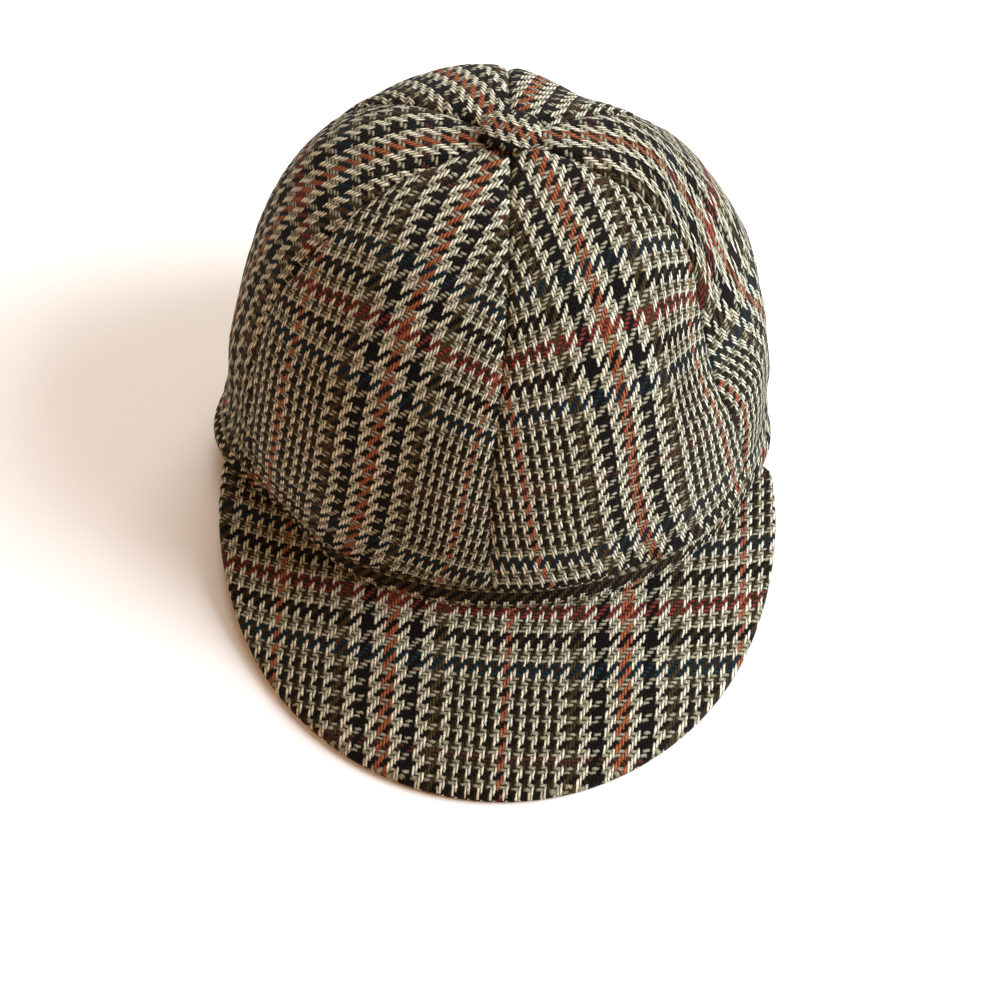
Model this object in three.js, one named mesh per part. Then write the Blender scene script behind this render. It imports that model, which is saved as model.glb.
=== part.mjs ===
import * as THREE from 'three';

// A peaked tweed cap lying on a flat surface: a crown of six cloth gores over a narrow strip, a stiff
// peak of an upper and a lower cloth, and a covered button. Millimetres, +Z up, the front towards -Y.

// Rim, the crown's lower edge
const RIM_HALF_WIDTH = 87.5;
const RIM_FRONT_REACH = 96;
const RIM_BACK_REACH = 88;
const FRONT_LIFT = 17;
const LEAVES_FLOOR_AT = 142;
const LIFT_POWER = 1.2;

// Crown
const CROWN_HEIGHT = 120.5;
const PLAN_POWER = 2.9;
const RISE_POWER = 2.55;
const SIDE_BULGE = 0.01;
const APEX_SET_BACK = 11.5;
const APEX_ASIDE = 1.5;
const CLOTH = 2;
const GORE_PUFF = 1.6;
const SEAM_DIP = 0.7;
const SEAM_DIP_WIDTH = 2.6;
const RELIEF_FULL_AT = 0.3;
const APEX_HOLE_RADIUS = 3.4;

// Strip round the base
const STRIP_HEIGHT = 10.2;

// Peak
const PEAK_HALF_ANGLE = 76;
const PEAK_HALF_WIDTH = 90.5;
const PEAK_TIP_REACH = 158;
const PEAK_CENTRE_REACH = 38;
const PEAK_END_TURN = 95;
const PEAK_EDGE_RESTS_TO = 48;
const PEAK_ARCH = 2.2;
const PEAK_TOP_CLOTH = 2;
const PEAK_UNDER_CLOTH = 1.4;

// Button
const BUTTON_RADIUS = 9.6;
const BUTTON_HEIGHT = 5;
const BUTTON_EDGE = 2;
const BUTTON_LIFT = 0.5;
const BUTTON_SHANK_RADIUS = 2.6;
const BUTTON_SHANK_LENGTH = 3.2;

// Clear space between pieces that are sewn together
const GAP = 0.3;
const PEAK_SEAM_GAP = 0.45;

// The seams between the gores, in degrees from the front towards +X
const SEAMS = [
  { place: 'front', angle: -0.6 },
  { place: 'front right', angle: 66 },
  { place: 'back right', angle: 122 },
  { place: 'back', angle: 180 },
  { place: 'back left', angle: 238 },
  { place: 'front left', angle: 293.5 },
];

// Where a seam of the worn crown strays from its plain line: turn in degrees, height and rise as shares
// of the crown's height
const SEAM_SWAYS = [
  { seam: 'front', height: 0.42, rise: 0.34, turn: -2.2 },
  { seam: 'front right', height: 0.56, rise: 0.26, turn: -9 },
  { seam: 'front right', height: 0.9, rise: 0.1, turn: 3 },
  { seam: 'front left', height: 0.55, rise: 0.22, turn: -5 },
];

// Where the crown sags over the strip and less of it shows: angle and spread in degrees, less in millimetres
const STRIP_SAGS = [
  { place: 'right of the peak', angle: 54, spread: 20, less: 3.4 },
  { place: 'left of the peak', angle: -58, spread: 24, less: 4.2 },
];

// Hollows and swells of the worn cloth: angle and spread in degrees from the front towards +X, height and
// rise as shares of the crown's height, out in millimetres, outwards positive
const FOLDS = [
  { place: 'back right shoulder', angle: 148, spread: 24, height: 0.84, rise: 0.16, out: -8 },
  { place: 'back left shoulder', angle: -108, spread: 26, height: 0.84, rise: 0.18, out: 3 },
  { place: 'left temple', angle: -86, spread: 15, height: 0.01, rise: 0.1, out: 6.6 },
  { place: 'right temple', angle: 85, spread: 12, height: 0.02, rise: 0.1, out: 3.5 },
  { place: 'dent left of the peak', angle: -53, spread: 15, height: 0, rise: 0.14, out: -5.5 },
  { place: 'right front crease', angle: 59, spread: 8, height: 0.62, rise: 0.2, out: -3.2 },
  { place: 'ridge beside the crease', angle: 47, spread: 5, height: 0.6, rise: 0.22, out: 1.6 },
  { place: 'fold low on the right', angle: 31, spread: 6, height: 0.42, rise: 0.2, out: -1.2 },
  { place: 'fold low on the left', angle: -24, spread: 6, height: 0.45, rise: 0.22, out: -1.2 },
];

// The folds die out round the apex, at these shares of the rim's width
const FOLDS_END_AT = 0.08;
const FOLDS_FULL_AT = 0.45;

// Colours of the cloth
const TWEED = 0x75664f;
const STRIP_TWEED = 0x52473a;
const BUTTON_TWEED = 0x2b2724;

// Mesh steps
const GORE_COLUMNS = 12;
const GORE_ROWS = 15;
const STRIP_COLUMNS = 72;
const STRIP_ROWS = 2;
const PEAK_COLUMNS = 36;
const PEAK_ROWS = 7;
const BUTTON_SIDES = 24;
const BUTTON_RINGS = 5;

const SMALL_STEP = 1e-3;

const { degToRad, clamp, lerp, smoothstep } = THREE.MathUtils;

function hill(distance, width) {
  return Math.exp(-((distance / width) ** 2));
}

function turnBetween(first, second) {
  const full = 2 * Math.PI;
  return THREE.MathUtils.euclideanModulo(first - second + Math.PI, full) - Math.PI;
}

// Height of the rim over the floor: it lies flat at the back and rises to the front.
function rimHeight(angle) {
  const leaving = Math.cos(degToRad(LEAVES_FLOOR_AT));
  const share = clamp((Math.cos(angle) - leaving) / (1 - leaving), 0, 1);
  return FRONT_LIFT * share ** LIFT_POWER;
}

function stripHeight(angle) {
  let height = STRIP_HEIGHT;
  for (const sag of STRIP_SAGS) {
    height -= sag.less * hill(turnBetween(angle, degToRad(sag.angle)), degToRad(sag.spread));
  }
  return height;
}

// Share of the crown's height that a height over the rim stands for.
function levelAt(angle, overRim) {
  return overRim / (CROWN_HEIGHT - rimHeight(angle));
}

// How wide the crown is at a level, as a share of the rim.
function roundness(level) {
  return (1 - clamp(level, 0, 1) ** RISE_POWER) ** (1 / PLAN_POWER);
}

// The crown as a smooth dome, before its seams and folds.
function domePoint(angle, level) {
  const share = clamp(level, 0, 1);
  const round = roundness(share);
  const width = round * (1 + SIDE_BULGE * Math.sin(Math.PI * share));
  const reach = Math.cos(angle) > 0 ? RIM_FRONT_REACH : RIM_BACK_REACH;
  const rim = rimHeight(angle);
  return new THREE.Vector3(
    RIM_HALF_WIDTH * Math.sin(angle) * width + APEX_ASIDE * share ** 2,
    -reach * Math.cos(angle) * width + APEX_SET_BACK * share ** 2,
    rim + (CROWN_HEIGHT - rim) * share,
  );
}

function domeNormal(angle, level) {
  const low = Math.min(level, 1 - 4 * SMALL_STEP);
  const across = domePoint(angle + SMALL_STEP, low).sub(domePoint(angle - SMALL_STEP, low));
  const upwards = domePoint(angle, low + SMALL_STEP).sub(domePoint(angle, Math.max(low - SMALL_STEP, 0)));
  return across.cross(upwards).normalize();
}

function foldsAt(angle, level) {
  let out = 0;
  for (const fold of FOLDS) {
    const turn = turnBetween(angle, degToRad(fold.angle));
    out += fold.out * hill(turn, degToRad(fold.spread)) * hill(level - fold.height, fold.rise);
  }
  return out * smoothstep(roundness(level), FOLDS_END_AT, FOLDS_FULL_AT);
}

function seamAngle(seam, level) {
  let degrees = seam.angle;
  for (const sway of SEAM_SWAYS) {
    if (sway.seam === seam.place) degrees += sway.turn * hill(level - sway.height, sway.rise);
  }
  return degToRad(degrees);
}

// A point of one gore's cloth: a share of the way across, at a level, a depth under its outer face. The cloth
// stands out between its seams and dips along them, and each edge keeps half a gap from its seam.
function gorePoint(seam, nextSeam, across, level, depth) {
  const start = seamAngle(seam, level);
  const turn = THREE.MathUtils.euclideanModulo(seamAngle(nextSeam, level) - start, 2 * Math.PI);
  const plainDome = domePoint(start + turn * across, level);
  const radius = Math.hypot(
    plainDome.x - APEX_ASIDE * level ** 2,
    plainDome.y - APEX_SET_BACK * level ** 2,
  );
  const halfGap = Math.asin(GAP / 2 / radius);
  const angle = start + lerp(halfGap, turn - halfGap, across);
  const toSeam = Math.min(across, 1 - across) * turn * radius;
  const settle = smoothstep(level, levelAt(angle, stripHeight(angle)), RELIEF_FULL_AT);
  const puff = GORE_PUFF * Math.sin(Math.PI * across) * (radius / RIM_HALF_WIDTH);
  const relief = (puff - SEAM_DIP * hill(toSeam, SEAM_DIP_WIDTH)) * settle;
  const out = relief + foldsAt(angle, level) - depth;
  return domePoint(angle, level).addScaledVector(domeNormal(angle, level), out);
}

// A closed sheet between an upper and a lower grid of points, or a closed ring of it.
function sheetBetween(columns, rows, upper, lower, ring = false) {
  const positions = [];
  const wide = ring ? columns : columns + 1;
  for (const face of [upper, lower]) {
    for (let row = 0; row <= rows; row += 1) {
      for (let column = 0; column < wide; column += 1) {
        positions.push(...face(column / columns, row / rows).toArray());
      }
    }
  }
  const underside = wide * (rows + 1);
  const at = (column, row) => row * wide + (column % wide);
  const index = [];
  const quad = (a, b, c, d) => index.push(a, b, c, a, c, d);
  for (let row = 0; row < rows; row += 1) {
    for (let column = 0; column < columns; column += 1) {
      const corners = [at(column, row), at(column + 1, row), at(column + 1, row + 1), at(column, row + 1)];
      quad(...corners);
      quad(...corners.map((corner) => corner + underside).reverse());
    }
  }
  for (let column = 0; column < columns; column += 1) {
    const [first, next] = [at(column, 0), at(column + 1, 0)];
    quad(next, first, first + underside, next + underside);
    const [last, after] = [at(column, rows), at(column + 1, rows)];
    quad(last, after, after + underside, last + underside);
  }
  for (let row = 0; row < rows && !ring; row += 1) {
    const [low, high] = [at(0, row), at(0, row + 1)];
    quad(low, high, high + underside, low + underside);
    const [lowEnd, highEnd] = [at(columns, row), at(columns, row + 1)];
    quad(highEnd, lowEnd, lowEnd + underside, highEnd + underside);
  }
  const geometry = new THREE.BufferGeometry();
  geometry.setAttribute('position', new THREE.Float32BufferAttribute(positions, 3));
  geometry.setIndex(index);
  geometry.computeVertexNormals();
  return geometry;
}

function clothMaterial(color) {
  return new THREE.MeshStandardMaterial({ color, roughness: 0.95, metalness: 0 });
}

// Closer steps near both ends of a run, where seams and edges turn
function easedStep(share) {
  return (1 - Math.cos(Math.PI * share)) / 2;
}

// One gore, between its seam and the next
function makeGore(name, seam, nextSeam) {
  const topShare = Math.acos((APEX_HOLE_RADIUS / RIM_HALF_WIDTH) ** (PLAN_POWER / 2));
  const foot = seamAngle(seam, 0);
  const footTurn = THREE.MathUtils.euclideanModulo(seamAngle(nextSeam, 0) - foot, 2 * Math.PI);
  const place = (across, along, depth) => {
    const eased = easedStep(across);
    const angle = foot + footTurn * eased;
    const bottom = levelAt(angle, stripHeight(angle) + GAP);
    const bottomShare = Math.asin(bottom ** (RISE_POWER / 2));
    const level = Math.sin(lerp(bottomShare, topShare, along)) ** (2 / RISE_POWER);
    return gorePoint(seam, nextSeam, eased, level, depth);
  };
  const outer = (across, along) => place(across, along, 0);
  const inner = (across, along) => place(across, along, CLOTH);
  const mesh = new THREE.Mesh(sheetBetween(GORE_COLUMNS, GORE_ROWS, outer, inner), clothMaterial(TWEED));
  mesh.name = name;
  return mesh;
}

// The strip's faces: its lower edge is flat, so that it can lie on the floor.
function stripPoint(angle, share, depth) {
  const level = levelAt(angle, stripHeight(angle) * share);
  const normal = domeNormal(angle, level).setZ(0).normalize();
  return domePoint(angle, level).addScaledVector(normal, foldsAt(angle, level) - depth);
}

function makeStrip() {
  const outer = (around, up) => stripPoint(around * 2 * Math.PI, up, 0);
  const inner = (around, up) => stripPoint(around * 2 * Math.PI, up, CLOTH);
  const geometry = sheetBetween(STRIP_COLUMNS, STRIP_ROWS, outer, inner, true);
  const mesh = new THREE.Mesh(geometry, clothMaterial(STRIP_TWEED));
  mesh.name = 'base_strip';
  return mesh;
}

// The peak's lower face: out from the strip's foot to an edge that rests on the floor round the front.
function peakPoint(side, outwards, height) {
  const angle = degToRad(PEAK_HALF_ANGLE) * side;
  const base = stripPoint(angle, height / stripHeight(angle), -PEAK_SEAM_GAP);
  const turn = degToRad(PEAK_END_TURN) * side;
  const length = PEAK_TIP_REACH - PEAK_CENTRE_REACH;
  const cornerHeight = rimHeight(degToRad(PEAK_HALF_ANGLE));
  const rising = smoothstep(Math.abs(turn), degToRad(PEAK_EDGE_RESTS_TO), degToRad(PEAK_END_TURN));
  const edge = new THREE.Vector3(
    PEAK_HALF_WIDTH * Math.sin(turn),
    -PEAK_CENTRE_REACH - length * Math.cos(turn),
    cornerHeight * rising,
  );
  edge.z += height;
  const arch = PEAK_ARCH * Math.sin(Math.PI * outwards) * Math.cos((Math.PI / 2) * side);
  return base.lerp(edge, outwards).add(new THREE.Vector3(0, 0, arch));
}

function makePeakCloth(name, bottom, thickness) {
  const upper = (across, outwards) => peakPoint(2 * easedStep(across) - 1, outwards, bottom + thickness);
  const lower = (across, outwards) => peakPoint(2 * easedStep(across) - 1, outwards, bottom);
  const geometry = sheetBetween(PEAK_COLUMNS, PEAK_ROWS, lower, upper);
  const mesh = new THREE.Mesh(geometry, clothMaterial(TWEED));
  mesh.name = name;
  return mesh;
}

// A domed button with a rounded edge and a short shank that goes down between the gores
function makeButton() {
  const profile = [
    new THREE.Vector2(0, -BUTTON_SHANK_LENGTH),
    new THREE.Vector2(BUTTON_SHANK_RADIUS, -BUTTON_SHANK_LENGTH),
    new THREE.Vector2(BUTTON_SHANK_RADIUS, 0),
    new THREE.Vector2(BUTTON_RADIUS - BUTTON_EDGE / 2, 0),
  ];
  for (let ring = 0; ring < BUTTON_RINGS; ring += 1) {
    const turn = (Math.PI / 2) * (ring / BUTTON_RINGS);
    const rise = BUTTON_EDGE + (BUTTON_HEIGHT - BUTTON_EDGE) * Math.sin(turn);
    profile.push(new THREE.Vector2(BUTTON_RADIUS * Math.cos(turn), rise));
  }
  profile.push(new THREE.Vector2(0, BUTTON_HEIGHT));
  const geometry = new THREE.LatheGeometry(profile, BUTTON_SIDES);
  geometry.rotateX(Math.PI / 2);
  const mesh = new THREE.Mesh(geometry, clothMaterial(BUTTON_TWEED));
  mesh.name = 'top_button';
  return mesh;
}

// In the order of the seams they start from
const goreNames = [
  'panel_front_right',
  'panel_side_right',
  'panel_back_right',
  'panel_back_left',
  'panel_side_left',
  'panel_front_left',
];

const crown = new THREE.Group();
goreNames.forEach((name, place) => {
  crown.add(makeGore(name, SEAMS[place], SEAMS[(place + 1) % SEAMS.length]));
});
crown.add(makeStrip());

const button = makeButton();
button.position.set(APEX_ASIDE, APEX_SET_BACK, CROWN_HEIGHT + BUTTON_LIFT);
crown.add(button);

const peak = new THREE.Group();
peak.add(makePeakCloth('peak_under', 0, PEAK_UNDER_CLOTH));
peak.add(makePeakCloth('peak_top', PEAK_UNDER_CLOTH + GAP, PEAK_TOP_CLOTH));

// The whole cap stands with the middle of its box over the origin
const cap = new THREE.Group();
cap.add(crown, peak);
const middle = new THREE.Box3().setFromObject(cap, true).getCenter(new THREE.Vector3());
cap.position.set(-middle.x, -middle.y, 0);

export default cap;
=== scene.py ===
"""A peaked tweed cap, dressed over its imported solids: six crown gores, a strip, a peak and a button."""
import math

import bpy
import numpy as np
from mathutils import Matrix, Vector


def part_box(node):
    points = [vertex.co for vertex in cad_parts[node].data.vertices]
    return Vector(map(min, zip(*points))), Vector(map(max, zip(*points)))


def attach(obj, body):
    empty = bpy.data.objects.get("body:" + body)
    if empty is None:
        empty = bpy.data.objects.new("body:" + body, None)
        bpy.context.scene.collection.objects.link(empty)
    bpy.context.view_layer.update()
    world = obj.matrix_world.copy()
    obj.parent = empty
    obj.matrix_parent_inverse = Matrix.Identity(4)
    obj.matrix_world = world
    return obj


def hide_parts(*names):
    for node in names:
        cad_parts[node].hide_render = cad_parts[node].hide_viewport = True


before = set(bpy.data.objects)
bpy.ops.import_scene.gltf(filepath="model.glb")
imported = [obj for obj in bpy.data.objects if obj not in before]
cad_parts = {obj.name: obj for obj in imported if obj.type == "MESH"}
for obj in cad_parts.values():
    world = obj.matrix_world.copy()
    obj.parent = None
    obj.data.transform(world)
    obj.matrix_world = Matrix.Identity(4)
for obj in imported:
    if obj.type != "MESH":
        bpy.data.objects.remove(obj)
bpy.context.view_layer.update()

# Rim and crown, in millimetres about the crown's centre, with angles from the front towards +X
RIM_HALF_WIDTH = 87.5
RIM_FRONT_REACH = 96.0
RIM_BACK_REACH = 88.0
FRONT_LIFT = 17.0
LEAVES_FLOOR_AT = 142.0
LIFT_POWER = 1.2
CROWN_HEIGHT = 120.5
PLAN_POWER = 2.9
RISE_POWER = 2.55
SIDE_BULGE = 0.01
APEX_SET_BACK = 11.5
APEX_ASIDE = 1.5
APEX_HOLE_RADIUS = 3.4
CLOTH = 2.0
GORE_PUFF = 1.6
SEAM_DIP = 0.7
SEAM_DIP_WIDTH = 2.6
RELIEF_FULL_AT = 0.3
STRIP_HEIGHT = 10.2
STRIP_SWELL = 0.5
STRIP_FOLD = 0.8

# Peak
PEAK_HALF_ANGLE = 76.0
PEAK_HALF_WIDTH = 90.5
PEAK_TIP_REACH = 158.0
PEAK_CENTRE_REACH = 38.0
PEAK_END_TURN = 95.0
PEAK_EDGE_RESTS_TO = 48.0
PEAK_ARCH = 2.2
PEAK_TOP_CLOTH = 2.0
PEAK_UNDER_CLOTH = 1.4
PEAK_CLOTH_GAP = 0.06
PEAK_EDGE_ROLL = 2.0
PEAK_UNDER_ROLL = 1.3
PEAK_SEAM_GAP = 0.1
PEAK_ROLL_SHARE = 0.94
PEAK_UNDER_ROLL_SHARE = 0.9
PEAK_SEAM_DIP = 0.5
PEAK_SEAM_DIP_SHARE = 0.015
PEAK_ROWS_CLOSER = 1.6
PEAK_UNEVENNESS = dict(height=0.16, size=26.0, seed=11)

# Button
BUTTON_RADIUS = 9.7
BUTTON_HEIGHT = 5.4
BUTTON_RIM_HEIGHT = 1.5
BUTTON_UNDER_DEPTH = 1.9
BUTTON_DOME_POWER = 0.85
BUTTON_GATHERS = 14
BUTTON_GATHER_HEIGHT = 0.3
BUTTON_SIDE_THREADS = 0.8
BUTTON_UNEVENNESS = dict(height=0.12, size=6.0, seed=21)

# The seams between the gores, in degrees
SEAMS = {
    "front": -0.6,
    "front right": 66.0,
    "back right": 122.0,
    "back": 180.0,
    "back left": 238.0,
    "front left": 293.5,
}

# Where a seam strays from its plain line: height and rise as shares of the crown's height, turn in degrees
SEAM_SWAYS = [
    dict(seam="front", height=0.42, rise=0.34, turn=-2.2),
    dict(seam="front right", height=0.56, rise=0.26, turn=-9.0),
    dict(seam="front right", height=0.9, rise=0.1, turn=3.0),
    dict(seam="front left", height=0.55, rise=0.22, turn=-5.0),
]

# Where the crown sags over the strip: angle and spread in degrees, less in millimetres
STRIP_SAGS = [
    dict(angle=54.0, spread=20.0, less=3.4),
    dict(angle=-58.0, spread=24.0, less=4.2),
]

# Hollows and swells of the worn cloth, shared with the solids: out in millimetres, outwards positive
FOLDS = [
    dict(place="back right shoulder", angle=148.0, spread=24.0, height=0.84, rise=0.16, out=-8.0),
    dict(place="back left shoulder", angle=-108.0, spread=26.0, height=0.84, rise=0.18, out=3.0),
    dict(place="left temple", angle=-86.0, spread=15.0, height=0.01, rise=0.1, out=6.6),
    dict(place="right temple", angle=85.0, spread=12.0, height=0.02, rise=0.1, out=3.5),
    dict(place="dent left of the peak", angle=-53.0, spread=15.0, height=0.0, rise=0.14, out=-5.5),
    dict(place="right front crease", angle=59.0, spread=8.0, height=0.62, rise=0.2, out=-3.2),
    dict(place="ridge beside the crease", angle=47.0, spread=5.0, height=0.6, rise=0.22, out=1.6),
    dict(place="fold low on the right", angle=31.0, spread=6.0, height=0.42, rise=0.2, out=-1.2),
    dict(place="fold low on the left", angle=-24.0, spread=6.0, height=0.45, rise=0.22, out=-1.2),
]
FOLDS_END_AT = 0.08
FOLDS_FULL_AT = 0.45

# The gores' edges: how far and over what width they turn in, and the roll that stands above the strip
SEAM_TURN_IN = 1.1
SEAM_TURN_WIDTH = 0.8
STRIP_TURN_IN = 1.3
STRIP_TURN_WIDTH = 0.9
STRIP_ROLL = 1.0
STRIP_ROLL_AT = 4.0
STRIP_ROLL_WIDTH = 3.5
GORE_UNDER_STRIP_TOP = 0.2

# Small puckers that the seams pull, and the cloth's unevenness, which both fade out towards the button
PUCKER_HEIGHT = 0.16
PUCKER_SPACING = 8.5
PUCKER_AT = 2.5
PUCKER_WIDTH = 4.0
PUCKERS_FROM_RADIUS = 8.0
PUCKERS_FULL_AT_RADIUS = 30.0
UNEVEN_FROM_RADIUS = 6.0
UNEVEN_FULL_AT_RADIUS = 26.0
CROWN_UNEVENNESS = [
    dict(height=0.45, size=34.0, seed=3),
    dict(height=0.16, size=12.0, seed=7),
]

# Each gore: the seams it runs between, the angle of the wide rust line down its middle, and its flat cut as
# width and length in metres and area in square metres
GORES = [
    dict(piece="gore_front_right", node="panel_front_right", seam="front", after="front right", line=30.0,
         cut=(0.109, 0.165), area=0.0115, drift="right"),
    dict(piece="gore_side_right", node="panel_side_right", seam="front right", after="back right", line=88.0,
         cut=(0.100, 0.162), area=0.0108),
    dict(piece="gore_back_right", node="panel_back_right", seam="back right", after="back", line=165.0,
         cut=(0.091, 0.155), area=0.0099),
    dict(piece="gore_back_left", node="panel_back_left", seam="back", after="back left", line=207.0,
         cut=(0.091, 0.160), area=0.0103),
    dict(piece="gore_side_left", node="panel_side_left", seam="back left", after="front left", line=274.5,
         cut=(0.092, 0.162), area=0.0100),
    dict(piece="gore_front_left", node="panel_front_left", seam="front left", after="front", line=330.0,
         cut=(0.106, 0.165), area=0.0121, drift="left"),
]

# Where a gore's rust line strays from its plain angle, as with the seams
LINE_SWAYS = [
    dict(piece="gore_front_right", height=0.0, rise=0.2, turn=4.0),
    dict(piece="gore_front_left", height=0.0, rise=0.2, turn=-4.0),
    dict(piece="gore_side_right", height=0.72, rise=0.2, turn=-14.0),
    dict(piece="gore_side_right", height=0.98, rise=0.06, turn=8.0),
]

# Weave: thread spacing in millimetres on the crown and on the peak, and the wefts counted down from the apex
WARP_SPACING = 1.0
WEFT_SPACING = 1.13
WEFT_AT_APEX = -54.9
WEFTS_PER_MM = 0.504
WEFTS_GROWING = 0.00171
CHEVRON = 1.2
PEAK_WARP_SPACING = 0.957
PEAK_WEFT_SPACING = 1.30
PEAK_GRAIN_TURN = -3.6
PEAK_GRAIN_CENTRE = (-33.1, -100.0)
PEAK_WEFT_START = 2.6
PEAK_WEFT_RADIUS = 152.0

# The strip: the warp at its front, its lowest weft, and the band of it that shows only dark yarn
STRIP_WARP_AT_FRONT = 30.0
STRIP_LOWEST_WEFT = 14.5
STRIP_DARK_TO_WEFT = 9.0
STRIP_DARK_WARPS = 62.0

# How far the worn front gores have drawn their threads aside, fitted to the photo by a scratch program and
# then rounded to about half a thread: each row counts in threads at one DRIFT_STEP sideways and down, and
# grows with these powers of the two places
DRIFT_STEP = 40.0
DRIFT = [
    dict(what="moved over", sideways=0, down=0,
         right_warps=4.0, right_wefts=-1.0, left_warps=-2.5, left_wefts=-3.5),
    dict(what="spread", sideways=1, down=0,
         right_warps=0.0, right_wefts=1.0, left_warps=3.0, left_wefts=-2.5),
    dict(what="leaning", sideways=0, down=1,
         right_warps=2.0, right_wefts=6.0, left_warps=0.0, left_wefts=3.5),
    dict(what="bowed", sideways=2, down=0,
         right_warps=-3.5, right_wefts=1.0, left_warps=6.0, left_wefts=0.0),
    dict(what="fanned", sideways=1, down=1,
         right_warps=2.5, right_wefts=1.0, left_warps=3.5, left_wefts=-0.5),
    dict(what="curved", sideways=0, down=2,
         right_warps=-3.0, right_wefts=1.0, left_warps=1.0, left_wefts=2.5),
    dict(what="pinched", sideways=1, down=2,
         right_warps=-2.0, right_wefts=0.0, left_warps=-2.0, left_wefts=-1.0),
    dict(what="slack", sideways=0, down=3,
         right_warps=0.0, right_wefts=-2.5, left_warps=0.0, left_wefts=-2.0),
]

# Where the cloth of a gore is drawn together: from which warp on, round which weft and how far down and up,
# all in threads, and how many threads more are counted there
TUCKS = [
    dict(piece="gore_front_right", starts=14.0, full=31.0, weft=15.0, down=16.0,
         more_warps=10.0, more_wefts=4.0),
    dict(piece="gore_side_left", starts=-90.0, full=-60.0, weft=15.0, down=30.0,
         more_warps=0.0, more_wefts=13.0),
    dict(piece="gore_side_right", starts=-25.0, full=0.0, weft=-8.0, down=14.0,
         more_warps=0.0, more_wefts=7.0),
]

# The button's cloth: the turn of its grain in degrees, and the threads in its middle
BUTTON_GRAIN_TURN = 28.0
BUTTON_MIDDLE_WARP = -1.0
BUTTON_MIDDLE_WEFT = 27.0

# Mesh steps, and the steps and limits of what is worked out over the surface
GORE_COLUMNS = 56
GORE_ROWS = 72
STRIP_COLUMNS = 288
STRIP_ROWS = 8
PEAK_COLUMNS = 128
PEAK_ROWS = 44
SMALL_STEP = 1e-3
JOINING_GAP = 1e-6
SHARP_FROM = 50.0
BUTTON_SEGMENTS = 64
BUTTON_RINGS = 32
MERIDIAN_GAP = 10.0
LEVEL_STEP = 0.01
TOP_LEVEL = 0.999
LEAST_LENGTH = 0.05
UNEVEN_WAVES = 9
UNEVEN_WAVE_SPREAD = (0.7, 1.5)


def hill(distance, width):
    return np.exp(-((distance / width) ** 2))


def smooth_rise(value, low, high):
    share = np.clip((value - low) / (high - low), 0.0, 1.0)
    return share * share * (3.0 - 2.0 * share)


def turn_between(first, second):
    return (first - second + math.pi) % (2 * math.pi) - math.pi


def eased(share):
    return (1.0 - np.cos(math.pi * share)) / 2.0


# Soft unevenness of a cloth over its surface, about one millimetre high before it is scaled
def unevenness(points, size, seed):
    chance = np.random.default_rng(seed)
    total = np.zeros(len(points))
    for _ in range(UNEVEN_WAVES):
        heading = chance.normal(size=3)
        heading /= np.linalg.norm(heading)
        wave = size * chance.uniform(*UNEVEN_WAVE_SPREAD)
        total += np.sin(points @ heading * (2 * math.pi / wave) + chance.uniform(0, 2 * math.pi))
    return total / math.sqrt(UNEVEN_WAVES)


# The crown's form

def rim_height(angle):
    leaving = math.cos(math.radians(LEAVES_FLOOR_AT))
    return FRONT_LIFT * np.clip((np.cos(angle) - leaving) / (1 - leaving), 0.0, 1.0) ** LIFT_POWER


def strip_height(angle):
    height = np.full(np.shape(angle), STRIP_HEIGHT)
    for sag in STRIP_SAGS:
        turn = turn_between(angle, math.radians(sag["angle"]))
        height = height - sag["less"] * hill(turn, math.radians(sag["spread"]))
    return height


def level_at(angle, over_rim):
    return over_rim / (CROWN_HEIGHT - rim_height(angle))


def roundness(level):
    return (1.0 - np.clip(level, 0.0, 1.0) ** RISE_POWER) ** (1.0 / PLAN_POWER)


def dome_point(angle, level):
    share = np.clip(level, 0.0, 1.0)
    width = roundness(share) * (1.0 + SIDE_BULGE * np.sin(math.pi * share))
    reach = np.where(np.cos(angle) > 0, RIM_FRONT_REACH, RIM_BACK_REACH)
    rim = rim_height(angle)
    x = RIM_HALF_WIDTH * np.sin(angle) * width + APEX_ASIDE * share**2
    y = -reach * np.cos(angle) * width + APEX_SET_BACK * share**2
    return np.stack([x, y, rim + (CROWN_HEIGHT - rim) * share], axis=-1)


def dome_normal(angle, level):
    low = np.minimum(level, 1.0 - 4 * SMALL_STEP)
    across = dome_point(angle + SMALL_STEP, low) - dome_point(angle - SMALL_STEP, low)
    upwards = dome_point(angle, low + SMALL_STEP) - dome_point(angle, np.maximum(low - SMALL_STEP, 0.0))
    normal = np.cross(across, upwards)
    return normal / np.linalg.norm(normal, axis=-1, keepdims=True)


def folds_at(angle, level):
    out = np.zeros(np.shape(angle))
    for fold in FOLDS:
        turn = turn_between(angle, math.radians(fold["angle"]))
        sideways = hill(turn, math.radians(fold["spread"]))
        out = out + fold["out"] * sideways * hill(level - fold["height"], fold["rise"])
    return out * smooth_rise(roundness(level), FOLDS_END_AT, FOLDS_FULL_AT)


def seam_angle(seam, level):
    degrees = np.full(np.shape(level), SEAMS[seam])
    for sway in SEAM_SWAYS:
        if sway["seam"] == seam:
            degrees = degrees + sway["turn"] * hill(level - sway["height"], sway["rise"])
    return np.radians(degrees)


def strip_point(angle, share, out):
    level = level_at(angle, strip_height(angle) * share)
    normal = dome_normal(angle, level)
    normal[..., 2] = 0.0
    normal /= np.linalg.norm(normal, axis=-1, keepdims=True)
    return dome_point(angle, level) + normal * (folds_at(angle, level) + out)[..., None]


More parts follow.
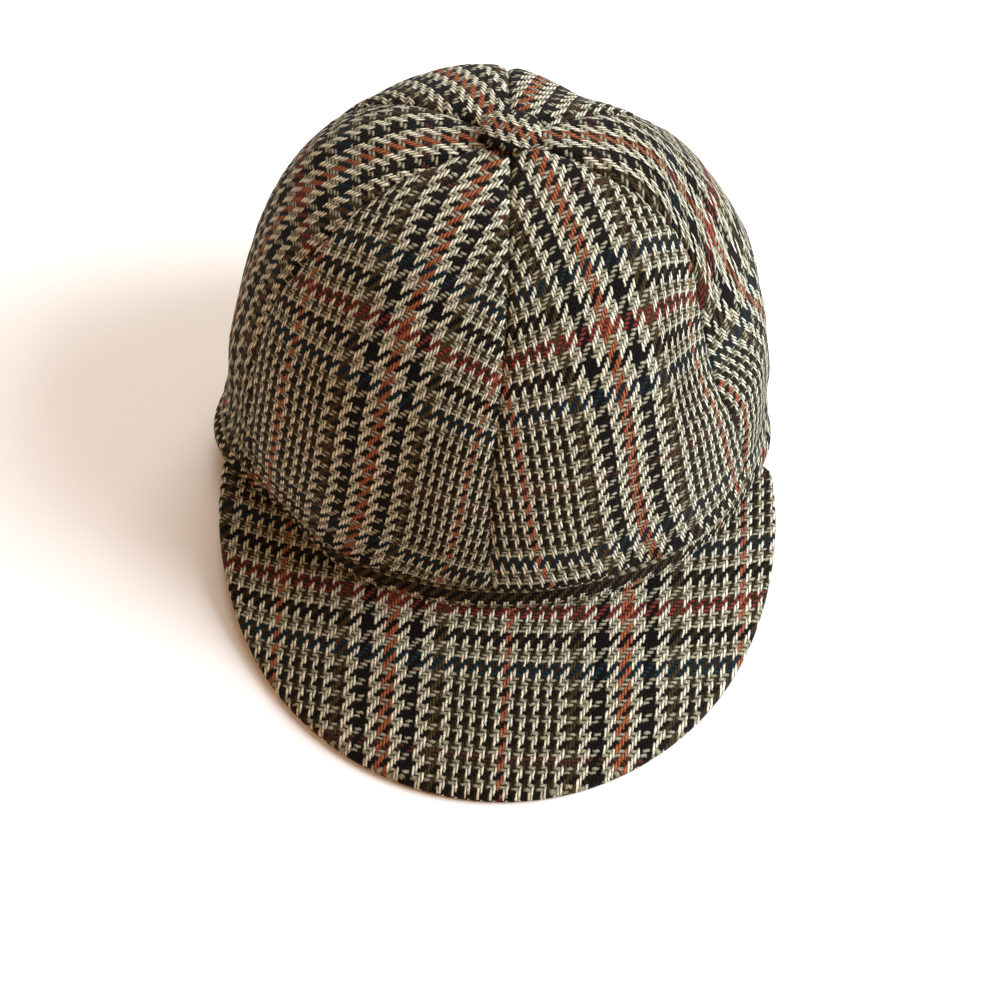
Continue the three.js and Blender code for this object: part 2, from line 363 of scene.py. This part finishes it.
def peak_point(side, outwards, height):
    angle = math.radians(PEAK_HALF_ANGLE) * side
    base = strip_point(angle, height / strip_height(angle), np.full(np.shape(side), PEAK_SEAM_GAP))
    turn = math.radians(PEAK_END_TURN) * side
    length = PEAK_TIP_REACH - PEAK_CENTRE_REACH
    corner = rim_height(np.radians(PEAK_HALF_ANGLE))
    rising = smooth_rise(np.abs(turn), math.radians(PEAK_EDGE_RESTS_TO), math.radians(PEAK_END_TURN))
    x = PEAK_HALF_WIDTH * np.sin(turn)
    y = -PEAK_CENTRE_REACH - length * np.cos(turn)
    edge = np.stack([x, y, corner * rising + height], axis=-1)
    point = base * (1 - outwards)[..., None] + edge * outwards[..., None]
    point[..., 2] += PEAK_ARCH * np.sin(math.pi * outwards) * np.cos(math.pi / 2 * side)
    return point


# Lengths along the cloth: round the rim from the front, and down a meridian from the apex

TABLE_ANGLES = np.radians(np.arange(-180.0, 541.0, 1.0))
TABLE_LEVELS = np.sin(np.linspace(0.0, math.pi / 2, 240)) ** (2 / RISE_POWER)
RIM_POINTS = dome_point(TABLE_ANGLES, np.zeros(len(TABLE_ANGLES)))[:, :2]
RIM_STEPS = np.linalg.norm(np.diff(RIM_POINTS, axis=0), axis=1)
RIM_LENGTHS = np.concatenate([[0.0], np.cumsum(RIM_STEPS)])
RIM_LENGTHS = RIM_LENGTHS - np.interp(0.0, TABLE_ANGLES, RIM_LENGTHS)
MERIDIAN_ANGLES = np.radians(np.arange(0.0, 361.0, MERIDIAN_GAP))
MERIDIANS = dome_point(*np.meshgrid(MERIDIAN_ANGLES, TABLE_LEVELS))
MERIDIAN_STEPS = np.linalg.norm(np.diff(MERIDIANS, axis=0), axis=-1)
MERIDIAN_LENGTHS = np.concatenate([np.zeros((1, len(MERIDIAN_ANGLES))), np.cumsum(MERIDIAN_STEPS, axis=0)])
FROM_APEX = MERIDIAN_LENGTHS[-1] - MERIDIAN_LENGTHS


def along_rim(angle):
    return np.interp(angle, TABLE_ANGLES, RIM_LENGTHS)


def down_from_apex(angle, level):
    turns = np.mod(angle, 2 * math.pi) / math.radians(MERIDIAN_GAP)
    first = np.clip(np.floor(turns).astype(int), 0, len(MERIDIAN_ANGLES) - 2)
    found = np.zeros(len(level))
    for column in np.unique(first):
        chosen = first == column
        near = np.interp(level[chosen], TABLE_LEVELS, FROM_APEX[:, column])
        far = np.interp(level[chosen], TABLE_LEVELS, FROM_APEX[:, column + 1])
        found[chosen] = near + (far - near) * (turns[chosen] - column)
    return found


# How fast the crown narrows along the cloth of its side
def narrowing(level):
    side = np.full(len(level), math.pi / 2)
    below = np.clip(level - LEVEL_STEP, 0.0, TOP_LEVEL)
    above = np.clip(level + LEVEL_STEP, 0.0, TOP_LEVEL)
    length = down_from_apex(side, below) - down_from_apex(side, above)
    return (roundness(below) - roundness(above)) / np.maximum(length, LEAST_LENGTH)


# Meshes

BUTTON_LOW, BUTTON_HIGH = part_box("top_button")
BUTTON_CENTRE = (BUTTON_LOW + BUTTON_HIGH) / 2
CROWN_CENTRE = np.array([BUTTON_CENTRE.x - APEX_ASIDE / 1000, BUTTON_CENTRE.y - APEX_SET_BACK / 1000, 0.0])


def clear_selection():
    if bpy.context.object and bpy.context.object.mode != "OBJECT":
        bpy.ops.object.mode_set(mode="OBJECT")
    bpy.ops.object.select_all(action="DESELECT")


def choose(piece):
    clear_selection()
    piece.select_set(True)
    bpy.context.view_layer.objects.active = piece


def points_of(piece):
    points = np.empty(len(piece.data.vertices) * 3)
    piece.data.vertices.foreach_get("co", points)
    return points.reshape(-1, 3)


def set_points(piece, millimetres):
    metres = millimetres / 1000 + CROWN_CENTRE
    piece.data.vertices.foreach_set("co", metres.ravel())
    piece.data.update()


def read_shares(piece):
    shares = []
    for name in ("across", "along"):
        values = np.empty(len(piece.data.vertices))
        piece.data.attributes[name].data.foreach_get("value", values)
        shares.append(values)
    return shares


# A flat sheet of cloth with its shares across and along kept on its points
def lay_sheet(name, columns, rows):
    clear_selection()
    bpy.ops.mesh.primitive_grid_add(x_subdivisions=columns, y_subdivisions=rows, size=1)
    piece = bpy.context.object
    piece.name = name
    piece.data.name = name
    flat = points_of(piece)
    for column, share in enumerate(("across", "along")):
        kept = piece.data.attributes.new(share, "FLOAT", "POINT")
        kept.data.foreach_set("value", flat[:, column] + 0.5)
    return piece


# Writes the thread counts of each point as the cloth's own map
def map_threads(piece, warps, wefts):
    threads = piece.data.uv_layers.active
    threads.name = "threads"
    corners = np.empty(len(piece.data.loops), dtype=int)
    piece.data.loops.foreach_get("vertex_index", corners)
    pairs = np.stack([warps[corners], wefts[corners]], axis=-1)
    threads.data.foreach_set("uv", pairs.ravel())


# Gives a sheet its back face, and puts that face where the cloth's inner side is
def back_with(piece, inner):
    count = len(piece.data.vertices)
    choose(piece)
    wall = piece.modifiers.new("cloth", "SOLIDIFY")
    wall.thickness = CLOTH / 1000
    wall.offset = -1
    bpy.ops.object.modifier_apply(modifier=wall.name)
    across, along = read_shares(piece)
    points = (points_of(piece) - CROWN_CENTRE) * 1000
    points[count:] = inner(across[count:], along[count:])
    set_points(piece, points)


def finish_piece(piece, node, material):
    for share in ("across", "along"):
        piece.data.attributes.remove(piece.data.attributes[share])
    piece.data.materials.clear()
    piece.data.materials.append(material)
    choose(piece)
    bpy.ops.object.shade_smooth_by_angle(angle=math.radians(SHARP_FROM))
    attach(piece, "root")
    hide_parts(node)
    clear_selection()
    return piece


# Materials

def linear(hex_colour):
    channels = [int(hex_colour[i : i + 2], 16) / 255 for i in (1, 3, 5)]
    return tuple(c / 12.92 if c <= 0.04045 else ((c + 0.055) / 1.055) ** 2.4 for c in channels) + (1.0,)


# Adds a node with its settings; each input is a value, a socket, or a node that gives its first output
def add_node(tree, kind, inputs=(), **settings):
    made = tree.nodes.new("ShaderNode" + kind)
    for name, value in settings.items():
        setattr(made, name, value)
    pairs = inputs.items() if isinstance(inputs, dict) else enumerate(inputs)
    for place, source in pairs:
        if isinstance(source, bpy.types.Node):
            source = source.outputs[0]
        if isinstance(source, bpy.types.NodeSocket):
            tree.links.new(source, made.inputs[place])
        else:
            made.inputs[place].default_value = source
    return made


# Half a repeat of the check, from the middle of its wide line to the middle of its thin one
CHECK = [
    ("wide", 2), ("cream", 4), ("black", 4), ("cream", 4), ("broad", 4),
    ("cream", 3), ("fine", 2), ("cream", 2), ("fine", 2), ("cream", 2),
    ("fine", 2), ("cream", 2), ("fine", 2), ("cream", 2), ("thin", 1),
]
HALF_REPEAT = sum(count for _, count in CHECK)
WARP_DYES = dict(wide="#9c5636", cream="#d5d1b8", black="#0b0806",
                 broad="#43341d", fine="#2f2310", thin="#98543a")
WEFT_DYES = dict(wide="#87372e", cream="#a9a58a", black="#0b0806",
                 broad="#162c35", fine="#1c150c", thin="#502d24")

# A yarn's half width in thread spacings, its height over the cloth's ground, and how far it dips and rises
WARP_YARN = dict(half_width=0.45, height=0.58, crimp=0.36)
WEFT_YARN = dict(half_width=0.45, height=0.46, crimp=0.22)

# A yarn floats over two others and leans by this share of the spacing for each that it passes
FLOAT_LENGTH = 2.0
FLOAT_LEAN = 0.09

# How the yarns wander and how hairy they are, and the wool's flecks and nap, with scales per thread
WANDER = dict(scale=0.11, detail=1.0, length=0.9)
HAIR = dict(scale=1.1, detail=5.0, length=0.95)
FLECKS = {"Scale": 2.4, "Detail": 3.0, "Roughness": 0.75}
NAP = {"Scale": 3.4, "Detail": 3.0}
NAP_HEIGHT = 0.3
YARN_RELIEF = 0.0006

# Lightness, each mapped from its first two values to its last two: by chance for each thread, by the flecks,
# and by a yarn's height, which paints shade into the colour, dark in the gaps between the yarns
THREAD_LIGHTNESS = (0.0, 1.0, 0.8, 1.12)
FLECK_LIGHTNESS = (0.32, 0.68, 0.5, 1.35)
YARN_PAINTED_SHADE = (0.22, 0.86, 0.02, 1.12)

# Wool scatters light without a shine, and its loose fibres give a faint bloom at the edges
WOOL = {"Roughness": 0.92, "Specular IOR Level": 0.1, "Sheen Weight": 0.03, "Sheen Roughness": 0.45}


# The dye of a numbered thread
def dyed(tree, thread, dyes):
    middle = add_node(tree, "Math", (thread, 0.5), operation="ADD")
    place = add_node(tree, "Math", (middle, float(HALF_REPEAT)), operation="PINGPONG")
    share = add_node(tree, "Math", (place, float(HALF_REPEAT)), operation="DIVIDE")
    ramp = add_node(tree, "ValToRGB", (share,))
    ramp.color_ramp.interpolation = "CONSTANT"
    stops = ramp.color_ramp.elements
    stops.remove(stops[1])
    start = 0
    for yarn, count in CHECK:
        stop = stops.new(start / HALF_REPEAT) if start else stops[0]
        stop.color = linear(dyes[yarn])
        start += count
    return ramp


# Height of a yarn: round across, rising where it floats over the others and dipping where it goes under them
def yarn_height(tree, across, float_phase, yarn):
    away = add_node(tree, "Math", (float_phase, FLOAT_LENGTH), operation="PINGPONG")
    turn = add_node(tree, "Math", (away, math.pi / FLOAT_LENGTH), operation="MULTIPLY")
    path = add_node(tree, "Math", (turn,), operation="COSINE")
    level = add_node(tree, "Math", (path, yarn["crimp"], yarn["height"]), operation="MULTIPLY_ADD")
    aside = add_node(tree, "Math", (across, yarn["half_width"]), operation="DIVIDE")
    squared = add_node(tree, "Math", (aside, aside), operation="MULTIPLY")
    left = add_node(tree, "Math", (1.0, squared), operation="SUBTRACT")
    kept = add_node(tree, "Math", (left, 0.0), operation="MAXIMUM")
    curve = add_node(tree, "Math", (kept,), operation="SQRT")
    return add_node(tree, "Math", (level, curve), operation="MULTIPLY")


# Noise around zero, as a vector of the given length
def stray(tree, place, scale, detail, length):
    noise = add_node(tree, "TexNoise", {"Vector": place, "Scale": scale, "Detail": detail})
    centred = add_node(tree, "VectorMath", (noise.outputs["Color"], (0.5, 0.5, 0.5)), operation="SUBTRACT")
    return add_node(tree, "VectorMath", {0: centred, "Scale": length}, operation="SCALE")


# Wool tweed, a 2 and 2 twill of thick carded yarn with the warp standing over the weft: dull and a little
# hairy, each yarn a small round ridge with shade beside it, flecked where several dyes were carded together
def wool_tweed(name, dark_band=False):
    material = bpy.data.materials.new(name)
    material.use_nodes = True
    tree = material.node_tree
    tree.nodes.clear()
    threads = add_node(tree, "UVMap", uv_map="threads")
    wandered = add_node(tree, "VectorMath", (threads, stray(tree, threads, **WANDER)), operation="ADD")
    hairy = add_node(tree, "VectorMath", (wandered, stray(tree, threads, **HAIR)), operation="ADD")
    place = add_node(tree, "SeparateXYZ", (hairy,))
    across, down = place.outputs[0], place.outputs[1]
    warp = add_node(tree, "Math", (across,), operation="FLOOR")
    weft = add_node(tree, "Math", (down,), operation="FLOOR")

    # The twill steps up by one weft from each warp to the next, and the floats lean with it
    warp_steps = add_node(tree, "Math", (down, warp), operation="ADD")
    warp_phase = add_node(tree, "Math", (warp_steps, 1.0), operation="SUBTRACT")
    weft_steps = add_node(tree, "Math", (across, weft), operation="ADD")
    weft_phase = add_node(tree, "Math", (weft_steps, 3.0), operation="SUBTRACT")
    shifted = add_node(tree, "Math", (warp_phase, FLOAT_LENGTH), operation="ADD")
    wrapped = add_node(tree, "Math", (shifted, 2 * FLOAT_LENGTH), operation="FLOORED_MODULO")
    along_float = add_node(tree, "Math", (wrapped, FLOAT_LENGTH), operation="SUBTRACT")
    from_warp = add_node(tree, "Math", (across, warp), operation="SUBTRACT")
    in_warp = add_node(tree, "Math", (from_warp, 0.5), operation="SUBTRACT")
    leaning = add_node(tree, "Math", (along_float, FLOAT_LEAN, in_warp), operation="MULTIPLY_ADD")
    from_weft = add_node(tree, "Math", (down, weft), operation="SUBTRACT")
    in_weft = add_node(tree, "Math", (from_weft, 0.5), operation="SUBTRACT")
    warp_height = yarn_height(tree, leaning, warp_phase, WARP_YARN)
    weft_height = yarn_height(tree, in_weft, weft_phase, WEFT_YARN)
    height = add_node(tree, "Math", (warp_height, weft_height), operation="MAXIMUM")
    warp_shows = add_node(tree, "Math", (warp_height, weft_height), operation="GREATER_THAN")

    # Dye, a little different from thread to thread, with the flecks of mixed wool along it, darkened by
    # painted shade in the gaps between the yarns
    warp_dye = dyed(tree, warp, WARP_DYES)
    if dark_band:
        above = add_node(tree, "Math", (weft, STRIP_DARK_TO_WEFT), operation="LESS_THAN")
        in_front = add_node(tree, "Math", (warp, STRIP_WARP_AT_FRONT, STRIP_DARK_WARPS), operation="COMPARE")
        in_band = add_node(tree, "Math", (above, in_front), operation="MULTIPLY")
        band = {0: in_band, 6: warp_dye, 7: linear(WARP_DYES["broad"])}
        warp_dye = add_node(tree, "Mix", band, data_type="RGBA").outputs[2]
    yarns = {0: warp_shows, 6: dyed(tree, weft, WEFT_DYES), 7: warp_dye}
    colour = add_node(tree, "Mix", yarns, data_type="RGBA").outputs[2]
    warp_chance = add_node(tree, "TexWhiteNoise", {"W": warp}, noise_dimensions="1D")
    weft_chance = add_node(tree, "TexWhiteNoise", {"W": weft}, noise_dimensions="1D")
    chance = add_node(tree, "Mix", {0: warp_shows, 2: weft_chance, 3: warp_chance}, data_type="FLOAT")
    lightness = add_node(tree, "MapRange", (chance, *THREAD_LIGHTNESS))
    fleck = add_node(tree, "TexNoise", {"Vector": threads, **FLECKS})
    flecks = add_node(tree, "MapRange", (fleck, *FLECK_LIGHTNESS))
    # Painted shade: the colour is darkened where a yarn lies low, down to near black in the gaps between
    # yarns
    shade = add_node(tree, "MapRange", (height, *YARN_PAINTED_SHADE))
    flecked = add_node(tree, "Math", (lightness, flecks), operation="MULTIPLY")
    light = add_node(tree, "Math", (flecked, shade), operation="MULTIPLY")
    tinted = add_node(tree, "VectorMath", {0: colour, "Scale": light}, operation="SCALE")

    # Relief of the yarns and the nap on them
    nap = add_node(tree, "TexNoise", {"Vector": threads, **NAP})
    relief = add_node(tree, "Math", (nap, NAP_HEIGHT, height), operation="MULTIPLY_ADD")
    bump = add_node(tree, "Bump", {"Height": relief, "Strength": 1.0, "Distance": YARN_RELIEF})
    cloth = add_node(tree, "BsdfPrincipled", {"Base Color": tinted, "Normal": bump, **WOOL})
    add_node(tree, "OutputMaterial", (cloth,))
    return material


TWEED = wool_tweed("wool_tweed")
STRIP_TWEED = wool_tweed("wool_tweed_of_strip", dark_band=True)

# Crown gores


def gore_place(gore, across, along):
    foot = seam_angle(gore["seam"], np.zeros(len(across)))
    foot_turn = np.mod(seam_angle(gore["after"], np.zeros(len(across))) - foot, 2 * math.pi)
    foot_angle = foot + foot_turn * across
    bottom = level_at(foot_angle, strip_height(foot_angle) - GORE_UNDER_STRIP_TOP)
    low = np.arcsin(bottom ** (RISE_POWER / 2))
    high = math.acos((APEX_HOLE_RADIUS / RIM_HALF_WIDTH) ** (PLAN_POWER / 2))
    level = np.sin(low + (high - low) * along) ** (2 / RISE_POWER)
    start = seam_angle(gore["seam"], level)
    turn = np.mod(seam_angle(gore["after"], level) - start, 2 * math.pi)
    return start + turn * across, level, turn


def gore_points(gore, across, along, depth, seed):
    angle, level, turn = gore_place(gore, across, along)
    plain = dome_point(angle, level)
    radius = np.hypot(plain[:, 0] - APEX_ASIDE * level**2, plain[:, 1] - APEX_SET_BACK * level**2)
    to_seam = np.minimum(across, 1 - across) * turn * radius
    settle = smooth_rise(level, level_at(angle, strip_height(angle)), RELIEF_FULL_AT)
    puff = GORE_PUFF * np.sin(math.pi * across) * (radius / RIM_HALF_WIDTH)
    out = (puff - SEAM_DIP * hill(to_seam, SEAM_DIP_WIDTH)) * settle + folds_at(angle, level)
    # The edges turn in along the seams and at the strip, and the seams pull small puckers
    out = out - SEAM_TURN_IN * np.exp(-to_seam / SEAM_TURN_WIDTH)
    down = down_from_apex(angle, level)
    total = down_from_apex(angle, level_at(angle, strip_height(angle)))
    to_strip = np.maximum(total - down, 0.0)
    out = out + STRIP_ROLL * hill(to_strip - STRIP_ROLL_AT, STRIP_ROLL_WIDTH)
    out = out - STRIP_TURN_IN * np.exp(-to_strip / STRIP_TURN_WIDTH)
    pucker = np.sin(down * (2 * math.pi / PUCKER_SPACING) + seed)
    puckered = smooth_rise(radius, PUCKERS_FROM_RADIUS, PUCKERS_FULL_AT_RADIUS)
    out = out + PUCKER_HEIGHT * pucker * hill(to_seam - PUCKER_AT, PUCKER_WIDTH) * puckered
    uneven = smooth_rise(radius, UNEVEN_FROM_RADIUS, UNEVEN_FULL_AT_RADIUS)
    for wave in CROWN_UNEVENNESS:
        out = out + uneven * wave["height"] * unevenness(plain, wave["size"], wave["seed"])
    return plain + dome_normal(angle, level) * (out - depth)[:, None]


def drawn_aside(side, warps, wefts):
    warp_drift, weft_drift = np.zeros(len(warps)), np.zeros(len(warps))
    for row in DRIFT:
        share = (warps / DRIFT_STEP) ** row["sideways"] * (wefts / DRIFT_STEP) ** row["down"]
        warp_drift += row[side + "_warps"] * share
        weft_drift += row[side + "_wefts"] * share
    return warps + warp_drift, wefts + weft_drift


def gore_threads(gore, across, along):
    angle, level, turn = gore_place(gore, across, along)
    width = roundness(level)
    line = np.full(len(level), math.radians(gore["line"]))
    for sway in LINE_SWAYS:
        if sway["piece"] == gore["piece"]:
            line = line + math.radians(sway["turn"]) * hill(level - sway["height"], sway["rise"])
    middle = angle + turn * (0.5 - across)
    warps = width * (along_rim(angle) - along_rim(line)) / WARP_SPACING
    half = (along_rim(angle + turn * (1 - across)) - along_rim(angle - turn * across)) / 2
    aside = along_rim(angle) - along_rim(middle)
    lift = CHEVRON * 0.5 * width * narrowing(level) * (half**2 - aside**2)
    down = down_from_apex(angle, level) + lift
    wefts = WEFT_AT_APEX + WEFTS_PER_MM * down + WEFTS_GROWING * down**2
    if "drift" in gore:
        warps, wefts = drawn_aside(gore["drift"], warps, wefts)
    for tuck in TUCKS:
        if tuck["piece"] == gore["piece"]:
            share = smooth_rise(warps, tuck["starts"], tuck["full"])
            share = share * hill(wefts - tuck["weft"], tuck["down"])
            warps, wefts = warps + tuck["more_warps"] * share, wefts + tuck["more_wefts"] * share
    return warps, wefts


def make_gore(gore, seed):
    piece = lay_sheet(gore["piece"], GORE_COLUMNS, GORE_ROWS)
    across, along = read_shares(piece)
    across = eased(across)
    set_points(piece, gore_points(gore, across, along, 0.0, seed))
    map_threads(piece, *gore_threads(gore, across, along))
    back_with(piece, lambda a, l: gore_points(gore, eased(a), l, CLOTH, seed))
    return finish_piece(piece, gore["node"], TWEED)


gores = [make_gore(gore, number) for number, gore in enumerate(GORES)]

# Strip: one band round the base, joined at the back


def strip_points(across, along, depth):
    angle = 2 * math.pi * across - math.pi
    swell = STRIP_SWELL * np.sin(math.pi * along)
    folded = STRIP_FOLD * np.exp(-along * STRIP_HEIGHT / STRIP_FOLD)
    return strip_point(angle, along, swell - folded - depth)


def make_strip():
    piece = lay_sheet("strip", STRIP_COLUMNS, STRIP_ROWS)
    across, along = read_shares(piece)
    set_points(piece, strip_points(across, along, 0.0))
    warps = along_rim(2 * math.pi * across - math.pi) / WARP_SPACING + STRIP_WARP_AT_FRONT
    wefts = STRIP_LOWEST_WEFT - along * STRIP_HEIGHT / WEFT_SPACING
    map_threads(piece, warps, wefts)
    choose(piece)
    bpy.ops.object.mode_set(mode="EDIT")
    bpy.ops.mesh.select_all(action="SELECT")
    bpy.ops.mesh.remove_doubles(threshold=JOINING_GAP)
    bpy.ops.object.mode_set(mode="OBJECT")
    back_with(piece, lambda a, l: strip_points(a, l, CLOTH))
    return finish_piece(piece, "base_strip", STRIP_TWEED)


strip = make_strip()

# Peak: an upper and a lower cloth, rolled together at the edge


def peak_threads(points, flipped):
    x, y = points[:, 0], points[:, 1] - PEAK_GRAIN_CENTRE[1]
    turn = math.radians(PEAK_GRAIN_TURN)
    sideways = x * math.cos(turn) + y * math.sin(turn) - PEAK_GRAIN_CENTRE[0]
    down = x * math.sin(turn) - y * math.cos(turn) + x**2 / (2 * PEAK_WEFT_RADIUS) + PEAK_WEFT_START
    warps, wefts = sideways / PEAK_WARP_SPACING, down / PEAK_WEFT_SPACING
    return (-warps, wefts) if flipped else (warps, wefts)


def edge_roll(side, outwards, roll):
    edge = peak_point(side, np.ones(len(side)), np.zeros(len(side)))
    here = peak_point(side, outwards, np.zeros(len(side)))
    inside = np.maximum(roll - np.linalg.norm((edge - here)[:, :2], axis=1), 0.0)
    return roll - np.sqrt(np.maximum(roll**2 - inside**2, 0.0))


def peak_top_points(across, along, face):
    side, outwards = 2 * eased(across) - 1, 1 - along**PEAK_ROWS_CLOSER
    bottom = np.full(len(side), PEAK_UNDER_CLOTH + PEAK_CLOTH_GAP)
    if face == "under":
        return peak_point(side, outwards, bottom)
    points = peak_point(side, outwards, bottom + PEAK_TOP_CLOTH)
    points[:, 2] -= edge_roll(side, outwards, PEAK_EDGE_ROLL) * PEAK_ROLL_SHARE
    points[:, 2] -= PEAK_SEAM_DIP * np.exp(-outwards / PEAK_SEAM_DIP_SHARE)
    uneven = unevenness(points, PEAK_UNEVENNESS["size"], PEAK_UNEVENNESS["seed"])
    points[:, 2] += PEAK_UNEVENNESS["height"] * uneven * np.sin(math.pi * outwards)
    return points


def peak_under_points(across, along, face):
    side, outwards = 2 * eased(across) - 1, 1 - (1 - along) ** PEAK_ROWS_CLOSER
    if face == "over":
        return peak_point(side, outwards, np.full(len(side), PEAK_UNDER_CLOTH))
    points = peak_point(side, outwards, np.zeros(len(side)))
    points[:, 2] += edge_roll(side, outwards, PEAK_UNDER_ROLL) * PEAK_UNDER_ROLL_SHARE
    return points


def make_peak_cloth(name, node, outer, inner, flipped):
    piece = lay_sheet(name, PEAK_COLUMNS, PEAK_ROWS)
    across, along = read_shares(piece)
    points = outer(across, along)
    set_points(piece, points)
    map_threads(piece, *peak_threads(points, flipped))
    back_with(piece, inner)
    return finish_piece(piece, node, TWEED)


peak_top = make_peak_cloth(
    "peak_upper_cloth", "peak_top",
    lambda a, l: peak_top_points(a, l, "top"), lambda a, l: peak_top_points(a, l, "under"), False)
peak_under = make_peak_cloth(
    "peak_lower_cloth", "peak_under",
    lambda a, l: peak_under_points(a, l, "bottom"), lambda a, l: peak_under_points(a, l, "over"), True)

# Button: cloth drawn over a round button


def make_button():
    clear_selection()
    bpy.ops.mesh.primitive_uv_sphere_add(segments=BUTTON_SEGMENTS, ring_count=BUTTON_RINGS, radius=1.0)
    piece = bpy.context.object
    piece.name = "covered_button"
    piece.data.name = "covered_button"
    ball = points_of(piece)
    flat = np.hypot(ball[:, 0], ball[:, 1])
    heading = np.arctan2(ball[:, 1], ball[:, 0])
    above = ball[:, 2] > 0
    dome = np.abs(ball[:, 2]) ** BUTTON_DOME_POWER * (BUTTON_HEIGHT - BUTTON_RIM_HEIGHT)
    rise = BUTTON_RIM_HEIGHT + np.where(above, dome, BUTTON_UNDER_DEPTH * ball[:, 2])
    gathers = BUTTON_GATHER_HEIGHT * np.sin(heading * BUTTON_GATHERS) * np.sin(math.pi * flat)
    drawn = np.where(above, 0.0, gathers)
    points = np.stack([ball[:, 0] * BUTTON_RADIUS, ball[:, 1] * BUTTON_RADIUS, rise + drawn], axis=-1)
    uneven = unevenness(points, BUTTON_UNEVENNESS["size"], BUTTON_UNEVENNESS["seed"])
    points += BUTTON_UNEVENNESS["height"] * uneven[:, None] * ball
    low = points.copy()
    points += np.array([APEX_ASIDE, APEX_SET_BACK, CROWN_HEIGHT])
    set_points(piece, points)
    turn = math.radians(BUTTON_GRAIN_TURN)
    aside, back = low[:, 0], low[:, 1] + BUTTON_SIDE_THREADS * low[:, 2]
    warps = (aside * math.sin(turn) + back * math.cos(turn)) / WARP_SPACING + BUTTON_MIDDLE_WARP
    wefts = (aside * math.cos(turn) - back * math.sin(turn)) / WEFT_SPACING + BUTTON_MIDDLE_WEFT
    map_threads(piece, warps, wefts)
    piece.data.materials.clear()
    piece.data.materials.append(TWEED)
    choose(piece)
    bpy.ops.object.shade_smooth()
    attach(piece, "root")
    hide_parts("top_button")
    clear_selection()
    return piece


button = make_button()

# Camera, at the photo's angle and distance

CAMERA_ELEVATION = 45.53
CAMERA_TURN = 1.91
CAMERA_ROLL = 2.12
CAMERA_DISTANCE = 1.0
CAMERA_AIM = (0.00025, -0.0542, 0.025)
CAMERA_LENS = 112.9


def make_camera():
    clear_selection()
    bpy.ops.object.camera_add()
    camera = bpy.context.object
    camera.name = "camera"
    rise, turn, roll = (math.radians(v) for v in (CAMERA_ELEVATION, CAMERA_TURN, CAMERA_ROLL))
    forward = Vector((math.sin(turn) * math.cos(rise), math.cos(turn) * math.cos(rise), -math.sin(rise)))
    right = Vector((math.cos(turn), -math.sin(turn), 0.0))
    up = right.cross(forward)
    level_right = right * math.cos(roll) + up * math.sin(roll)
    level_up = up * math.cos(roll) - right * math.sin(roll)
    turned = Matrix((level_right, level_up, -forward)).transposed()
    camera.rotation_euler = turned.to_euler()
    camera.location = Vector(CAMERA_AIM) + Vector(CROWN_CENTRE) - forward * CAMERA_DISTANCE
    camera.data.lens = CAMERA_LENS
    camera.data.sensor_width = 36.0
    camera.data.clip_start = 0.01
    camera.data.clip_end = 20.0
    bpy.context.scene.camera = camera


make_camera()

# Floor and soft studio light

FLOOR_SIZE = 6.0


# Matt white paper, which takes a soft shadow and shows no shine
def make_floor():
    clear_selection()
    bpy.ops.mesh.primitive_plane_add(size=FLOOR_SIZE)
    floor = bpy.context.object
    floor.name = "floor"
    paper = bpy.data.materials.new("white_paper")
    paper.use_nodes = True
    surface = paper.node_tree.nodes["Principled BSDF"]
    surface.inputs["Base Color"].default_value = linear("#f4f3f1")
    surface.inputs["Roughness"].default_value = 0.9
    floor.data.materials.append(paper)


LIGHT_SIZE = 1.2
LIT_PLACE = (0.0, 0.0, 0.05)


def add_light(name, place, power, colour):
    clear_selection()
    bpy.ops.object.light_add(type="AREA", location=place)
    light = bpy.context.object
    light.name = name
    light.data.size = LIGHT_SIZE
    light.data.energy = power
    light.data.color = linear(colour)[:3]
    light.rotation_euler = (Vector(LIT_PLACE) - Vector(place)).to_track_quat("-Z", "Y").to_euler()


make_floor()
add_light("window_light", (1.45, -0.15, 1.0), 62.0, "#f1f6ff")
add_light("back_light", (0.15, 1.3, 1.1), 24.0, "#ffffff")
add_light("warm_fill", (-0.8, -1.1, 0.9), 9.0, "#ffb066")
world = bpy.context.scene.world or bpy.data.worlds.new("room")
bpy.context.scene.world = world
world.use_nodes = True
world.node_tree.nodes["Background"].inputs["Color"].default_value = linear("#ffe9cf")
world.node_tree.nodes["Background"].inputs["Strength"].default_value = 0.26
bpy.context.scene.view_settings.view_transform = "Standard"

clear_selection()
